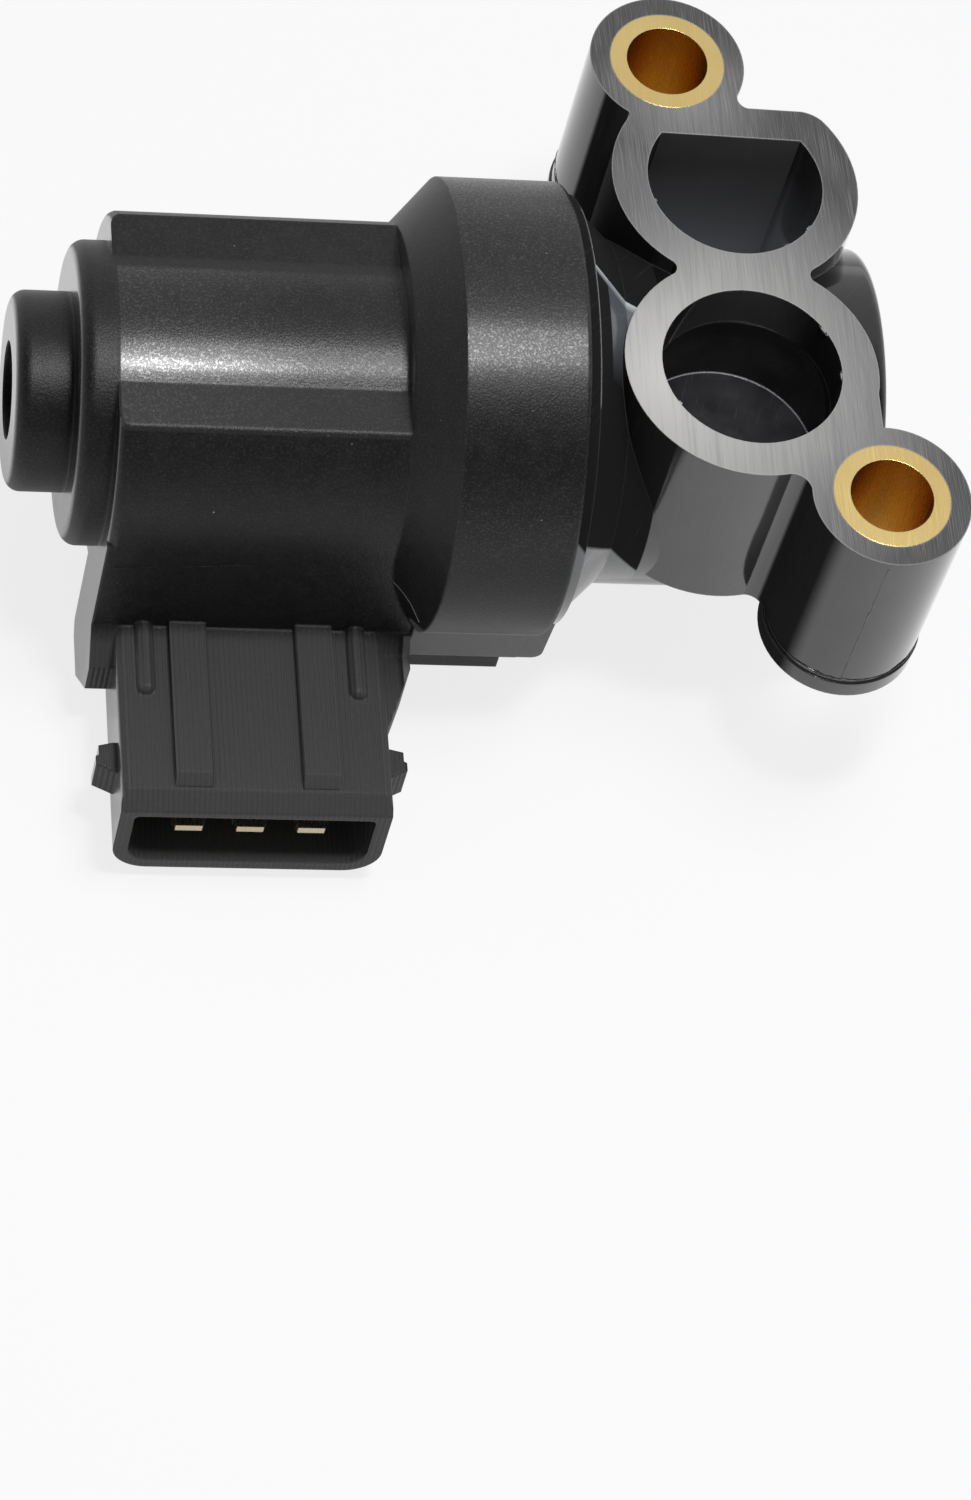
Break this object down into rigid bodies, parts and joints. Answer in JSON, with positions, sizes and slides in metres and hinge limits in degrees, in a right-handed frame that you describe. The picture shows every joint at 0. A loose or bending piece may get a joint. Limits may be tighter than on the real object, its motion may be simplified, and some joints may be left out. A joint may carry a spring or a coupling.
{
  "type": "idle air control valve",
  "caption": "Rotary idle air control valve: a black moulded motor with a flat-pin socket, joined to a glossy valve body with a round port, a D-shaped port and brass-sleeved fixing holes.",
  "frame": {"origin": "centre of the round port on the mating face", "axes": "+Z leaves the mating face along the round port's axis, +X runs along the motor axis from the motor's end boss towards the closed end of the valve chamber, and the socket opens towards -Y"},
  "size_m": [0.0744, 0.0628, 0.0416],
  "materials": {
    "housing": "satin black glass-filled plastic",
    "valve": "glossy black plastic with a machined mating face",
    "brass": "turned brass",
    "tin": "tinned blade",
    "steel": "ground steel",
    "alloy": "die-cast",
    "copper": "enamelled copper wire",
    "magnet": "sintered magnet",
    "bobbin": "natural nylon",
    "slide": "dark moulded plastic",
    "seal": "black rubber"
  },
  "bodies": {
    "valve": {"motor_housing": "housing", "valve_body": "valve", "upper_sleeve": "brass", "lower_sleeve": "brass", "flux_casing": "steel", "rear_bobbin": "bobbin", "front_bobbin": "bobbin", "rear_coil": "copper", "front_coil": "copper", "front_plate": "alloy", "shaft_seal": "seal", "body_seal": "seal", "stop_pin": "steel", "preload_washer": "steel", "terminal_1": "tin", "terminal_2": "tin", "terminal_3": "tin", "claw_yoke_1": "steel", "claw_yoke_2": "steel", "claw_yoke_3": "steel", "claw_yoke_4": "steel", "rear_outer_race": "steel", "rear_ball_cage": "brass", "front_outer_race": "steel", "front_ball_cage": "brass", "rear_ball_1": "steel", "rear_ball_2": "steel", "rear_ball_3": "steel", "rear_ball_4": "steel", "rear_ball_5": "steel", "rear_ball_6": "steel", "rear_ball_7": "steel", "front_ball_1": "steel", "front_ball_2": "steel", "front_ball_3": "steel", "front_ball_4": "steel", "front_ball_5": "steel", "front_ball_6": "steel", "front_ball_7": "steel"},
    "rotor": {"rotary_slide": "slide", "rotor_shaft": "steel", "magnet_ring": "magnet", "magnet_hub": "steel", "rear_inner_race": "steel", "front_inner_race": "steel", "retaining_ring": "steel"}
  },
  "joints": [
    {"name": "rotor_turn", "type": "hinge", "parent": "valve", "child": "rotor", "pos_m": [0, 0.0053, -0.01495], "axis": [1, 0, 0], "range_deg": [-45, 15], "stiffness_Nm_per_rad": 0.004}
  ]
}
